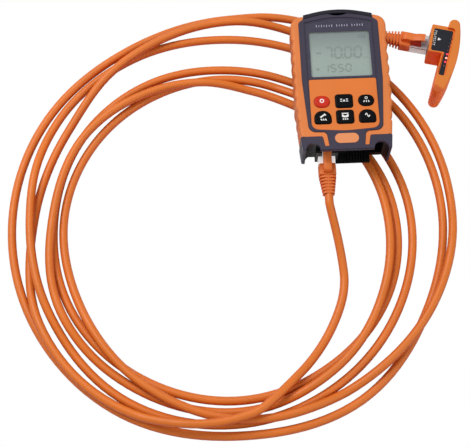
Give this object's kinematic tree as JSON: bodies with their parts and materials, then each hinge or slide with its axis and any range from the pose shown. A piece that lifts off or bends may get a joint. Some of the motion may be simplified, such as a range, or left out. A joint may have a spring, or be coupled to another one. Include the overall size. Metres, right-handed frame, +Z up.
{
  "type": "optical power meter with cable-test remote",
  "caption": "Pocket optical power meter in a dark casing with orange side grips, lying on a looped orange patch cord that plugs into the meter and into a bow-shaped remote.",
  "frame": {"origin": "on the table below the middle of the box round the meter and the remote", "axes": "+X across the meter towards the remote, +Y along the meter towards its optical ports, +Z up from the table through the face"},
  "size_m": [0.328, 0.3182, 0.0413],
  "materials": {
    "casing": "fine spark texture",
    "cover": "satin",
    "grip": "satin over-moulded rubber",
    "panel": "satin",
    "badge": "satin",
    "window": "clear, dark printed border",
    "display": "grey-green liquid crystal",
    "key_red": "satin, white print",
    "key_black": "satin, white print",
    "silicone": "matt",
    "steel": "plain",
    "port_metal": "nickel plated",
    "clear": "clear polycarbonate",
    "board": "circuit board green",
    "jack": "black",
    "gold": "gold plated",
    "cell": "plain jacket",
    "remote": "satin",
    "label": "gloss black",
    "light": "red epoxy",
    "cord": "satin jacket",
    "boot": "satin"
  },
  "bodies": {
    "meter": {"rear_shell": "casing", "front_shell": "casing", "grip_left": "grip", "grip_right": "grip", "keypad_panel": "panel", "lcd_window": "window", "lcd_module": "display", "key_mat": "silicone", "badge_plate": "badge", "cover_hinge_pin": "steel", "port_block": "jack", "optical_port": "port_metal", "laser_port": "port_metal", "lamp_lens": "clear", "main_board": "board", "meter_jack": "jack", "meter_jack_contacts": "gold", "battery_door": "casing", "battery_cells": "cell", "battery_contacts": "steel", "case_screws": "steel", "cord_lead_meter": "cord", "cord_coil": "cord", "cord_lead_remote": "cord", "meter_plug": "clear", "meter_plug_boot": "boot", "meter_plug_contacts": "gold", "remote_plug": "clear", "remote_plug_boot": "boot", "remote_plug_contacts": "gold"},
    "key_power_body": {"key_power": "key_red"},
    "key_reference_body": {"key_reference": "key_black"},
    "key_laser_body": {"key_laser": "key_black"},
    "key_lamp_body": {"key_lamp": "key_black"},
    "key_unit_body": {"key_unit": "key_black"},
    "key_wave_body": {"key_wave": "key_black"},
    "cover": {"dust_cover": "cover"},
    "meter_latch": {"meter_plug_latch": "clear"},
    "remote_latch": {"remote_plug_latch": "clear"},
    "remote": {"remote_shell": "remote", "remote_back_shell": "remote", "remote_label": "label", "remote_lights": "light", "remote_board": "board", "remote_jack": "jack", "remote_jack_contacts": "gold", "remote_screws": "steel"}
  },
  "joints": [
    {"name": "press_power", "type": "slide", "parent": "meter", "child": "key_power_body", "axis": [0, 0, -1], "range_m": [0, 0.0008], "stiffness_N_per_m": 900},
    {"name": "press_reference", "type": "slide", "parent": "meter", "child": "key_reference_body", "axis": [0, 0, -1], "range_m": [0, 0.0008], "stiffness_N_per_m": 900},
    {"name": "press_laser", "type": "slide", "parent": "meter", "child": "key_laser_body", "axis": [0, 0, -1], "range_m": [0, 0.0008], "stiffness_N_per_m": 900},
    {"name": "press_lamp", "type": "slide", "parent": "meter", "child": "key_lamp_body", "axis": [0, 0, -1], "range_m": [0, 0.0008], "stiffness_N_per_m": 900},
    {"name": "press_unit", "type": "slide", "parent": "meter", "child": "key_unit_body", "axis": [0, 0, -1], "range_m": [0, 0.0008], "stiffness_N_per_m": 900},
    {"name": "press_wave", "type": "slide", "parent": "meter", "child": "key_wave_body", "axis": [0, 0, -1], "range_m": [0, 0.0008], "stiffness_N_per_m": 900},
    {"name": "cover_hinge", "type": "hinge", "parent": "meter", "child": "cover", "pos_m": [-0.0282, 0.0513, 0.0154], "axis": [-1, 0, 0], "range_deg": [0, 90]},
    {"name": "meter_latch_flex", "type": "hinge", "parent": "meter", "child": "meter_latch", "pos_m": [-0.0414, -0.0379, 0.0247], "axis": [1, 0, 0], "range_deg": [0, 4], "stiffness_Nm_per_rad": 0.3},
    {"name": "remote_latch_flex", "type": "hinge", "parent": "meter", "child": "remote_latch", "pos_m": [0.04647, 0.03726, 0.0152], "axis": [-0.2419, -0.9703, 0], "range_deg": [0, 4], "stiffness_Nm_per_rad": 0.3},
    {"name": "remote_slide", "type": "slide", "parent": "meter", "child": "remote", "axis": [0.9703, -0.2419, 0], "range_m": [0, 0.016]}
  ]
}
